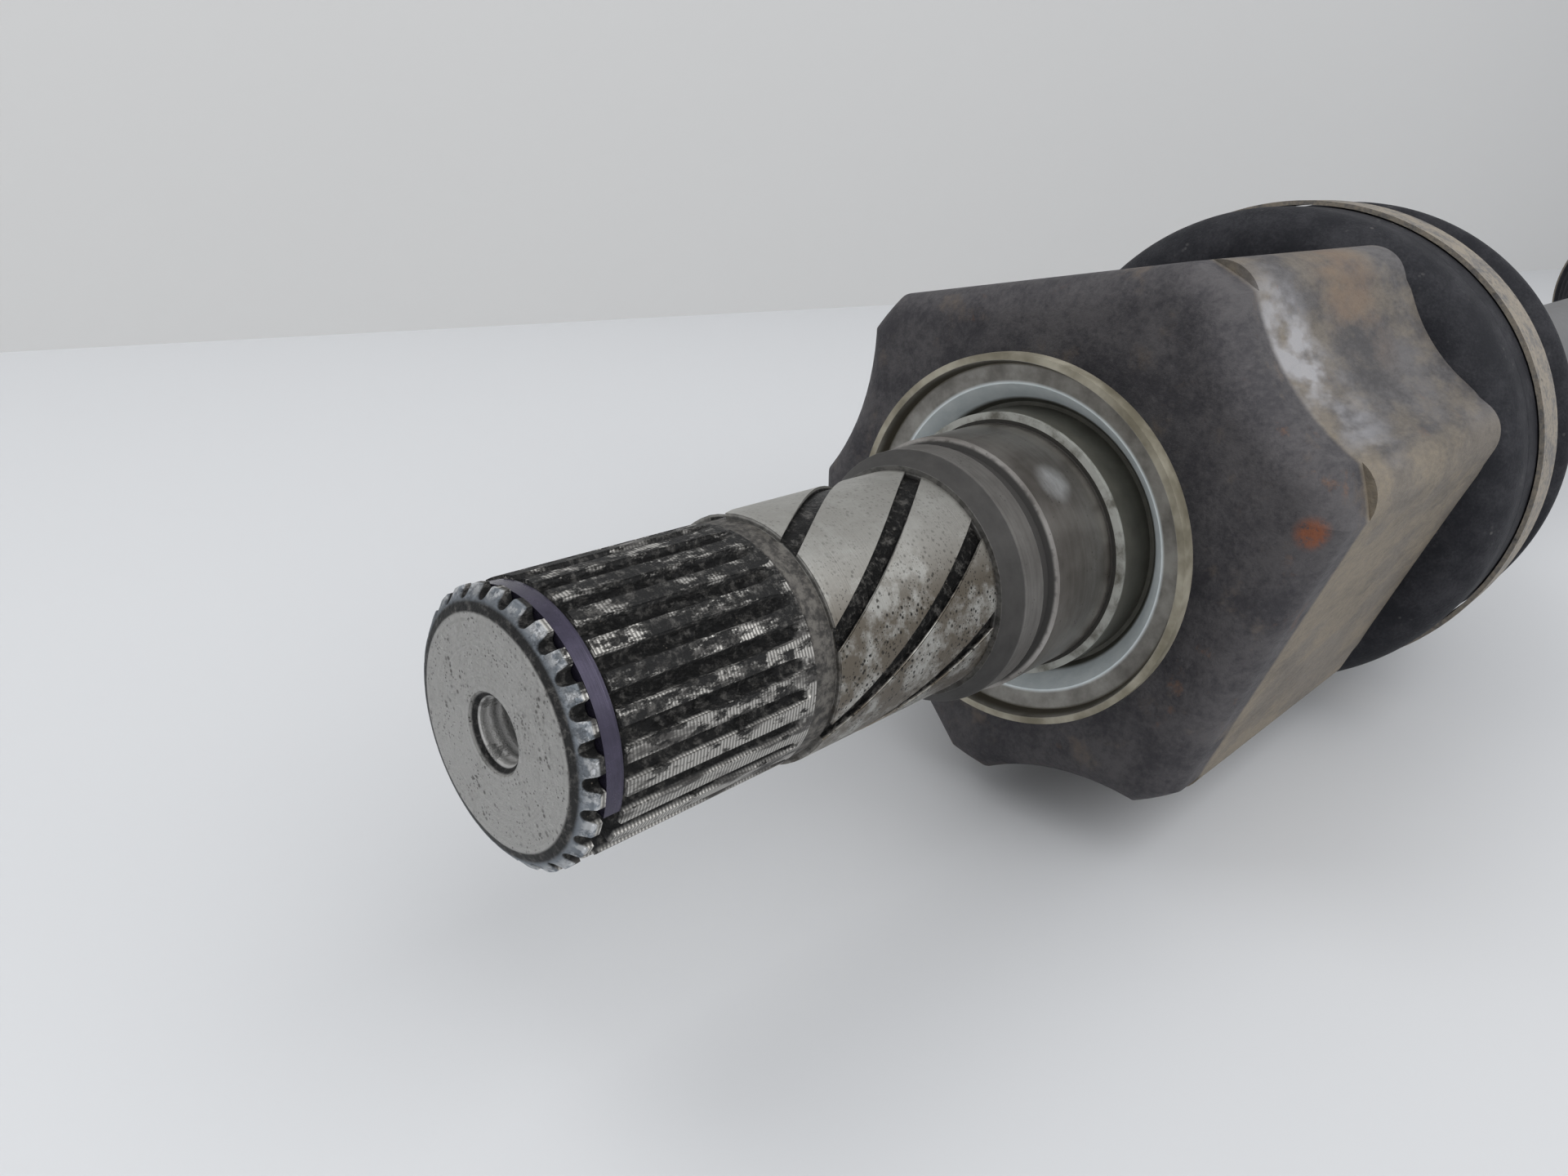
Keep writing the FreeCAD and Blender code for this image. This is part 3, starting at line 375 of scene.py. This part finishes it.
def collar_and_land(finish, film):
    """Dark cone, turned ring and oily seal land with painted reflection bands and one painted highlight,
    and painted shadow beyond the land.
    """
    x = finish.x
    cone_zone = x.within(JOURNAL_END, CONE_END)
    ring_zone = x.within(CONE_END, RING_END)
    land_zone = x.within(LAND_START, LAND_END)
    oil = finish.noise(3.0, 5, 0.6, finish.along_shaft(0.5))
    cone = finish.mix((0.018, 0.017, 0.016), (0.06, 0.057, 0.054), oil)
    ring = finish.mix((0.07, 0.065, 0.06), (0.30, 0.29, 0.275), finish.marks(x, 0.5) * 0.4 + oil * 0.6)
    # Painted reflections: light and dark bands round the seal land, mixed with turning marks and oil
    # patches.
    oil_marks_and_painted_reflections = (finish.turns + film * 0.15).waves(1 / 8) * 0.35 + finish.marks(x, 1.2) * 0.35 + oil * 0.3
    land = finish.mix((0.11, 0.097, 0.085), (0.44, 0.42, 0.40), oil_marks_and_painted_reflections)
    # Painted highlight: a near-white patch on the seal land, broken up by oil.
    painted_highlight = finish.near(PAINTED_HIGHLIGHT_SPOT, 3.6) * (oil * 1.5).capped()
    land = finish.mix(land, (0.86, 0.87, 0.89), painted_highlight)
    specks = finish.specks(0.5, 0.36) * (ring_zone + land_zone) * 0.8
    return Stretch(
        coats=[
            ((0.035, 0.033, 0.031), x.within(JOURNAL_END, LAND_START)),
            (cone, cone_zone),
            (ring, ring_zone),
            (land, land_zone),
            # Painted shadow: near-black from the seal land's end to the tulip's front, in the gap under
            # the shield.
            ((0.03, 0.028, 0.024), x.within(LAND_END, tulip_front - 0.3)),
            ((0.03, 0.028, 0.024), specks),
        ],
        clean=land_zone * 1.4 + ring_zone,
    )


def tulip(finish):
    """Mottled forging scale: dark turned front, tan lower flat, pale sheen and rusty spots."""
    x = finish.x
    zone = x.rises(tulip_front - 0.4, tulip_front - 0.1)
    front = x.falls(TURNED_END - 2.0, TURNED_END)
    drawn = finish.along_shaft(2.2)
    mottle = finish.noise(9.0, 6, 0.62, drawn)
    grain = finish.noise(0.9, 5, 0.7, drawn)

    skin_share = (mottle * 0.65 + grain * 0.35).rises(0.34, 0.66)
    skin = finish.mix((0.052, 0.049, 0.051), (0.124, 0.118, 0.119), skin_share)
    across_flat = finish.y * math.sin(LOWER_FLAT_TURN) + finish.z * math.cos(LOWER_FLAT_TURN)
    lower_flat = across_flat.rises(31.0, 35.5)
    edge = x.within(tulip_front + 7.0, tulip_front + 15.0, 4.0)
    clouds = finish.noise(10.0, 5, 0.6, drawn).rises(0.44, 0.62)
    tan = (clouds * 0.55 + lower_flat * 0.6 + edge * 0.4).capped()
    skin = finish.mix(skin, (0.235, 0.195, 0.138), tan * (mottle * 0.6 + grain * 0.9 - 0.1).capped(0.85))

    front_share = (mottle * 0.6 + grain * 0.4).rises(0.38, 0.62)
    front_grey = finish.mix((0.034, 0.032, 0.037), (0.082, 0.077, 0.080), front_share)
    front_brown = finish.noise(7.0, 5, 0.65).rises(0.55, 0.72)
    front_grey = finish.mix(front_grey, (0.13, 0.105, 0.085), front_brown * 0.6)

    smooth = finish.noise(3.4, 3, 0.5, drawn).rises(0.34, 0.66)
    # Painted sheen: pale patches on the tulip's flank around two spots.
    sheen = finish.near(SHEEN_SPOT, 12.0) * smooth + finish.near(SHEEN_SPOT_BELOW, 14.0) * smooth * 0.6
    rust = finish.noise(5.0, 6, 0.68).rises(0.60, 0.74) * finish.noise(24.0, 2).rises(0.45, 0.6)
    skin = finish.layers(
        skin,
        (front_grey, front),
        ((0.40, 0.40, 0.42), (sheen * (1 - front)).capped() * 0.7),
        ((0.17, 0.085, 0.045), rust * 0.55),
        ((0.19, 0.125, 0.075), finish.near(RUST_SPOT_TOP, 17.0) * mottle.rises(0.35, 0.6) * 0.6),
        ((0.19, 0.065, 0.03), finish.near(RUST_SPOT, 2.8) * grain.rises(0.30, 0.55)),
    )
    return Stretch(coats=[(skin, zone)], relief=mottle * zone * 0.5 + grain * zone * 0.16)


def stub_and_tulip_steel():
    """The inner joint's forging, from its oily splines and ground journal to the scaly tulip."""
    finish = Finish("forged_steel")
    fine = finish.noise(0.35, 2)
    grime = finish.noise(1.1, 6, 0.72)
    film = finish.noise(7.0, 5, 0.6)
    dirt = oily_dirt(finish, grime)
    stretches = [
        splines(finish, grime, film, dirt),
        stub_end(finish),
        bearing_journal(finish, grime, film, dirt),
        collar_and_land(finish, film),
        tulip(finish),
    ]
    coats = [coat for stretch in stretches for coat in stretch.coats]
    relief = sum(stretch.relief for stretch in stretches)
    clean = sum(stretch.clean for stretch in stretches)
    hole = tapped_hole(finish)
    return finish.surface(
        base_color=finish.layers(BLACK, *coats),
        roughness=0.60 - clean * 0.26 - spline_spaces(finish) * 0.08 + fine * 0.10 + film * 0.06,
        metallic=(0.30 + clean * 0.6).capped(0.95) * (1 - hole * 0.8),
        normal=finish.bumps(relief),
    )


def plain_steel(name, dark, light, roughness, metallic=0.85, patch=3.0, relief=0.02):
    """Worked steel with an uneven oily film and fine turning marks."""
    finish = Finish(name)
    film = finish.noise(patch, 4)
    marks = finish.marks(finish.x, 0.3)
    return finish.surface(
        base_color=finish.mix(dark, light, film * 0.6 + marks * 0.4),
        roughness=roughness - 0.1 + film * 0.2,
        metallic=metallic,
        normal=finish.bumps(marks + film * 0.5, relief),
    )


def zinc_sheet():
    """Plated shield: pale lip, stained channel, bluish cone, brown flange, a painted shadow band inside
    the rim, and yellowed rim.
    """
    finish = Finish("zinc_sheet")
    radius = finish.radius
    lip_end = finish.x.falls(shield_low.x + 0.5, shield_low.x + 0.8)
    beyond_cone = radius.rises(SHIELD_CONE, SHIELD_CONE + 0.6)
    stain = finish.noise(3.0, 5, 0.6)
    clouds = finish.noise(5.0, 5, 0.6).rises(0.25, 0.75)
    zinc = finish.mix((0.66, 0.74, 0.76), (0.92, 0.97, 0.98), finish.noise(2.0, 3))
    sleeve = finish.mix((0.035, 0.034, 0.027), (0.125, 0.122, 0.10), stain)
    lip = finish.mix((0.11, 0.105, 0.085), (0.38, 0.385, 0.355), stain.rises(0.3, 0.6))
    flange = finish.mix((0.15, 0.14, 0.125), (0.37, 0.36, 0.33), clouds)
    rim = finish.mix((0.20, 0.18, 0.13), (0.44, 0.41, 0.33), finish.noise(6.0, 4).rises(0.3, 0.7))
    colour = finish.layers(
        zinc,
        (sleeve, radius.falls(SHIELD_SLEEVE, SHIELD_SLEEVE + 0.6)),
        (lip, radius.falls(SHIELD_LIP, SHIELD_LIP + 0.2) * lip_end),
        (flange, beyond_cone),
        # Painted shadow: a dark band just inside the rim.
        ((0.09, 0.08, 0.06), radius.within(SHIELD_CREASE - 0.3, SHIELD_CREASE + 0.3, 0.2)),
        (rim, radius.rises(SHIELD_RIM, SHIELD_RIM + 0.4)),
    )
    return finish.surface(
        base_color=colour,
        roughness=0.40 + stain * 0.2,
        metallic=beyond_cone * 0.4 + 0.15,
        normal=finish.bumps(finish.noise(0.8, 3), 0.04),
    )


def boot_rubber():
    """Blue-black rubber with a dusty bloom, fine grain and pale scuffs."""
    finish = Finish("boot_rubber")
    dust = finish.noise(6.0, 6, 0.65)
    fine = finish.noise(0.5, 4, 0.65)
    scuffs = finish.specks(1.3, 0.34)
    bloom = (dust * 0.7 + fine * 0.3).rises(0.38, 0.72)
    colour = finish.mix((0.008, 0.0085, 0.012), (0.034, 0.034, 0.039), bloom)
    return finish.surface(
        base_color=finish.mix(colour, (0.22, 0.21, 0.20), scuffs * 0.5),
        roughness=0.62 + dust * 0.2,
        metallic=0.0,
        specular_ior_level=0.22,
        normal=finish.bumps(fine + scuffs * 0.5 + dust * 2.0, 0.10),
    )


def clamp_steel():
    """Clamp bands under dried road dust, worn bare in patches, with dark specks."""
    finish = Finish("clamp_steel")
    dust = finish.noise(4.0, 6, 0.68)
    grain = finish.noise(0.8, 4, 0.7)
    bare = finish.mix((0.06, 0.058, 0.058), (0.22, 0.21, 0.2), finish.marks(finish.x, 0.7))
    colour = finish.layers(
        bare,
        ((0.31, 0.27, 0.215), (dust * 0.6 + grain * 0.4).rises(0.38, 0.58) * 0.85),
        ((0.05, 0.045, 0.04), finish.specks(1.2, 0.42) * 0.8),
    )
    return finish.surface(
        base_color=colour,
        roughness=0.5 + dust * 0.3,
        metallic=0.45,
        normal=finish.bumps(dust + grain, 0.12),
    )


def bell_steel():
    """The outer joint's forging: scaly bell, turned shoulder, splines and thread."""
    finish = Finish("bell_steel")
    x = finish.x - ball_x
    radius = finish.radius
    mottle = finish.noise(11.0, 6, 0.62)
    grain = finish.noise(1.4, 4, 0.7)
    skin_share = (mottle * 0.7 + grain * 0.3).rises(0.36, 0.64)
    skin = finish.mix((0.088, 0.082, 0.084), (0.175, 0.168, 0.165), skin_share)
    rust = finish.noise(6.0, 5, 0.65).rises(0.56, 0.74)
    skin = finish.mix(skin, (0.18, 0.10, 0.055), rust * 0.6)
    turning = finish.marks(finish.x, 0.4)
    turned = finish.mix((0.2, 0.19, 0.18), (0.48, 0.47, 0.45), turning)
    stub = x.rises(SHOULDER - 0.4, SHOULDER - 0.1)
    neck = radius.falls(NECK_RADIUS - 0.5, NECK_RADIUS + 0.5) * x.rises(NECK_START - 3.0, NECK_START + 3.0)
    worked = (stub + neck).capped()
    tooth_floor = radius.falls(WHEEL_CREST_RADIUS - 0.55, WHEEL_CREST_RADIUS - 0.15)
    spaces = x.within(WHEEL_SPLINE_START + 0.2, WHEEL_SPLINE_END - 0.2, 0.2) * tooth_floor
    thread_zone = x.rises(NUT_THREAD_START - 0.2, NUT_THREAD_START + 0.2)
    thread = (x / NUT_PITCH - finish.turns).waves(1.0)
    colour = finish.layers(
        skin,
        (turned, worked),
        ((0.03, 0.028, 0.026), spaces * 0.85),
        ((0.07, 0.065, 0.06), thread_zone * (1 - thread) * 0.7),
    )
    height = (
        mottle * (1 - worked) * 0.5
        + grain * (1 - worked) * 0.16
        + turning * worked * 0.02
        + thread * thread_zone * 0.6
    )
    return finish.surface(
        base_color=colour,
        roughness=0.6 - worked * 0.2,
        metallic=0.3 + worked * 0.5,
        normal=finish.bumps(height),
    )


def bar_steel():
    """Grey coated bar with worn, dusty and rusty spots."""
    finish = Finish("bar_steel")
    film = finish.noise(8.0, 5)
    grain = finish.noise(1.2, 4, 0.65)
    colour = finish.mix((0.07, 0.07, 0.072), (0.21, 0.21, 0.212), film * 0.6 + grain * 0.4)
    colour = finish.mix(colour, (0.15, 0.08, 0.045), finish.noise(5.0, 5, 0.7).rises(0.62, 0.78) * 0.6)
    return finish.surface(
        base_color=colour,
        roughness=0.40 + film * 0.25,
        metallic=0.35,
        normal=finish.bumps(grain + film, 0.06),
    )


materials = {
    "forged_steel": stub_and_tulip_steel(),
    "spring_steel": plain_steel(
        "spring_steel", (0.015, 0.015, 0.024), (0.085, 0.074, 0.118), 0.26, metallic=0.6, patch=1.5
    ),
    "zinc_sheet": zinc_sheet(),
    "boot_rubber": boot_rubber(),
    "clamp_steel": clamp_steel(),
    "ground_steel": plain_steel("ground_steel", (0.35, 0.35, 0.36), (0.6, 0.6, 0.62), 0.28),
    "bar_steel": bar_steel(),
    "cage_steel": plain_steel("cage_steel", (0.16, 0.15, 0.15), (0.34, 0.33, 0.32), 0.4),
    "bearing_steel": plain_steel("bearing_steel", (0.55, 0.55, 0.57), (0.72, 0.72, 0.74), 0.18, 0.95),
}
materials["adaptor_rubber"] = materials["boot_rubber"]
bell_finish = bell_steel()

slot_of = {entry["node"]: entry["material_slot"] for entry in frame["record"]["subparts"]}
for node, slot_name in slot_of.items():
    finish = bell_finish if node == "outer_race" else materials[slot_name]
    bpy.data.objects[node].material_slots[0].material = finish


# Pieces


def start_piece():
    bpy.ops.object.select_all(action="DESELECT")


def turned_piece(name, outline, steps=64):
    """A ring about the shaft: an outline of (x, radius) corners, drawn by extrusion and spun."""
    start_piece()
    bpy.ops.mesh.primitive_plane_add(size=MM)
    piece = bpy.context.object
    piece.name = name
    bpy.ops.object.mode_set(mode="EDIT")
    bpy.ops.mesh.select_all(action="SELECT")
    bpy.ops.mesh.merge(type="CENTER")
    x, radius = outline[0]
    bpy.ops.transform.translate(value=(x * MM, 0, radius * MM))
    for (x, radius), (next_x, next_radius) in zip(outline, outline[1:]):
        step = ((next_x - x) * MM, 0, (next_radius - radius) * MM)
        bpy.ops.mesh.extrude_region_move(TRANSFORM_OT_translate={"value": step})
    bpy.ops.mesh.select_all(action="SELECT")
    bpy.ops.mesh.spin(steps=steps, angle=TURN, center=(0, 0, 0), axis=(1, 0, 0))
    bpy.ops.mesh.select_all(action="SELECT")
    bpy.ops.mesh.remove_doubles(threshold=SAME_PLACE * MM)
    bpy.ops.mesh.normals_make_consistent(inside=False)
    bpy.ops.object.mode_set(mode="OBJECT")
    return piece


def finish_piece(piece, finish, modifiers=()):
    bpy.context.view_layer.objects.active = piece
    for kind, settings in modifiers:
        modifier = piece.modifiers.new(kind, kind)
        for key, setting in settings.items():
            setattr(modifier, key, setting)
        bpy.ops.object.modifier_apply(modifier=modifier.name)
    piece.data.materials.clear()
    piece.data.materials.append(finish)
    piece.select_set(True)
    bpy.ops.object.shade_smooth_by_angle(angle=SMOOTH_ANGLE)
    piece.select_set(False)
    return piece


ROUND = ("SUBSURF", {"levels": 2, "render_levels": 2})

# The boots' wall, half the length of a crest's and a root's floor, and the length of a small collar
BOOT_WALL = 1.4
CREST_HALF = 1.9
ROOT_HALF = 1.0
SMALL_COLLAR = 12.0

# Radii of the boots' folds, from the big end to the small one, and of their small collars
INNER_CREST_RADII = (46.0, 42.0, 38.0, 32.6, 25.6)
INNER_ROOT_RADII = (38.4, 34.4, 30.2, 24.8)
INNER_SMALL_RADIUS = 15.2
OUTER_CREST_RADII = (40.6, 36.6, 32.6, 28.2, 22.4)
OUTER_ROOT_RADII = (33.6, 30.4, 26.4, 21.2)
OUTER_SMALL_RADIUS = 15.0


def folds(start, end, crests, roots):
    """Corners of a boot's folds from start to end, and the middles of the crests and of the roots."""
    pitch = (end - start) / len(crests)
    heading = 1 if end > start else -1
    corners, middles, valleys = [], [], []
    for number, crest in enumerate(crests):
        middle = start + pitch * (number + 0.5)
        middles.append(middle)
        corners += [(middle + heading * side * CREST_HALF, crest) for side in (-1, 0, 1)]
        if number < len(roots):
            valley = start + pitch * (number + 1)
            valleys.append(valley)
            corners += [(valley + heading * side * ROOT_HALF, roots[number]) for side in (-1, 0, 1)]
    return corners, middles, valleys


def bellows(name, node, outline, bends, bodies):
    """A boot in lengths that meet in the middle of a crest or root.

    The outline runs from the big collar's lip to the small collar's end. bends are places along the shaft;
    the ones between its first and last are where the lengths are cut.
    """
    cuts = [outline[0][0], *bends[1:-1], outline[-1][0]]
    for number in range(len(bodies) - 1):
        near, far = sorted(cuts[number:number + 2])
        low, high = near - SAME_PLACE, far + SAME_PLACE
        corners = [corner for corner in outline if low <= corner[0] <= high]
        piece = turned_piece(f"{name}_{number + 1}", corners)
        wall = {"thickness": BOOT_WALL * MM, "offset": -1.0, "use_even_offset": True}
        finish_piece(piece, materials["boot_rubber"], [ROUND, ("SOLIDIFY", wall)])
        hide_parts(node)
        start, end = bends[number] * MM, bends[number + 1] * MM
        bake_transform(piece)


# The inner boot: collar under the big clamp, five folds, small collar on the bar
inner_collar = node_box("inner_boot_big_clamp")[1].z - 1.0
inner_lip = inner_boot_low.x
inner_end = inner_boot_high.x
inner_folds = tulip_end + 5.5
inner_folds_end = inner_end - SMALL_COLLAR
inner_corners, inner_crests, _ = folds(
    inner_folds, inner_folds_end, INNER_CREST_RADII, INNER_ROOT_RADII
)
bellows(
    "inner_bellows",
    "inner_boot",
    [
        (inner_lip, inner_collar - 0.6),
        (inner_lip + 0.5, inner_collar),
        (inner_lip + 1.5, inner_collar),
        (inner_folds - 4.2, inner_collar),
        (inner_folds - 3.0, inner_collar - 0.3),
        (inner_folds - 1.8, inner_collar - 2.0),
        (inner_folds - 0.6, 40.6),
        (inner_folds + 1.0, 40.4),
        *inner_corners,
        (inner_folds_end - 1.0, INNER_SMALL_RADIUS + 1.8),
        (inner_folds_end + 1.2, INNER_SMALL_RADIUS),
        (inner_end - 1.0, INNER_SMALL_RADIUS),
        (inner_end, INNER_SMALL_RADIUS - 0.6),
    ],
    [inner_folds - 3.0, inner_crests[1], inner_crests[2], inner_folds_end],
    ["inner_joint", "plunging_boot", "tilt_ring", "bar"],
)

# The outer boot: small end of the cone towards the inner joint
outer_collar = outer_boot_high.z
outer_lip = outer_boot_high.x
outer_end = outer_boot_low.x
outer_folds = bell_mouth - 5.0
outer_folds_end = outer_end + SMALL_COLLAR
outer_corners, outer_crests, outer_roots = folds(
    outer_folds, outer_folds_end, OUTER_CREST_RADII, OUTER_ROOT_RADII
)
bellows(
    "outer_bellows",
    "outer_boot",
    [
        (outer_lip, outer_collar - 0.8),
        (outer_lip - 0.8, outer_collar),
        (outer_lip - 14.5, outer_collar),
        (outer_lip - 16.0, outer_collar - 1.0),
        (outer_lip - 17.4, 37.0),
        (outer_folds + 0.2, 33.6),
        *outer_corners,
        (outer_folds_end + 1.2, OUTER_SMALL_RADIUS + 1.6),
        (outer_folds_end - 1.0, OUTER_SMALL_RADIUS),
        (outer_end + 1.0, OUTER_SMALL_RADIUS),
        (outer_end, OUTER_SMALL_RADIUS - 0.6),
    ],
    [outer_folds + 2.0, outer_crests[1], outer_roots[1], outer_crests[2], outer_folds_end],
    ["wheel_bell", "half_bounce_ball", "cage", "half_steer_ball", "bar"],
)


# Floor, wall, light and camera

# The wall stands on the line where the photo shows it meet the floor. These are metres.
SET_LENGTH = 4.0
FLOOR_MIDDLE = Vector((0.3, 0, floor_z - 0.5 * MM))
WALL_MIDDLE = Vector((0.053, 0.399, floor_z))
WALL_TURN = Euler((math.radians(90), 0, math.radians(-8.9)))
LAMP_AIM = Vector((0.1, 0, 0))


def plain_surface(name, colour, place, turn):
    """A pale plane of the set, placed in its mesh. It is clear from behind, so it hides nothing there."""
    start_piece()
    bpy.ops.mesh.primitive_plane_add(size=SET_LENGTH)
    plane = bpy.context.object
    plane.name = name
    plane.data.transform(Matrix.Translation(place) @ turn.to_matrix().to_4x4())
    finish = Finish(name)
    finish.surface(base_color=(*colour, 1), roughness=0.5)
    behind = finish.node("ShaderNodeNewGeometry", output="Backfacing")
    paint = Value(finish, finish.shader.outputs[0])
    clear = finish.node("ShaderNodeBsdfTransparent")
    either = finish.node("ShaderNodeMixShader", {}, {0: behind, 1: paint, 2: clear})
    finish.tree.links.new(either.socket, finish.tree.nodes["Material Output"].inputs["Surface"])
    plane.data.materials.append(finish.material)


plain_surface("floor", (0.62, 0.63, 0.645), FLOOR_MIDDLE, Euler((0, 0, 0)))
plain_surface("wall", (0.59, 0.59, 0.585), WALL_MIDDLE, WALL_TURN)

world = bpy.data.worlds.new("pale_room")
bpy.context.scene.world = world
world.use_nodes = True
background = world.node_tree.nodes["Background"]
background.inputs["Color"].default_value = (0.76, 0.77, 0.79, 1)
background.inputs["Strength"].default_value = 0.97


def area_light(name, place, size, power):
    bpy.ops.object.light_add(type="AREA", location=place)
    lamp = bpy.context.object
    lamp.name = name
    lamp.rotation_euler = (LAMP_AIM - Vector(place)).to_track_quat("-Z", "Y").to_euler()
    lamp.data.size = size
    lamp.data.energy = power


area_light("window", (-0.2, 0.25, 0.7), size=0.4, power=1.3)
area_light("room", (0.1, -0.8, 0.9), size=1.2, power=9.0)

CAMERA_PLACE = Vector((-0.05039, -0.08077, 0.05596))
CAMERA_TURN = Euler([math.radians(angle) for angle in (66.92, -4.191, -45.95)])
SENSOR_WIDTH = 36.0
PICTURE_WIDTH = 1920
FOCAL_PIXELS = 1400
camera_data = bpy.data.cameras.new("photo_view")
camera_data.sensor_width = SENSOR_WIDTH
camera_data.lens = SENSOR_WIDTH * FOCAL_PIXELS / PICTURE_WIDTH
camera_data.clip_start = 0.01
camera = bpy.data.objects.new("photo_view", camera_data)
camera.location = CAMERA_PLACE
camera.rotation_euler = CAMERA_TURN
bpy.context.collection.objects.link(camera)
bpy.context.scene.camera = camera

bpy.context.scene.view_settings.view_transform = "Standard"
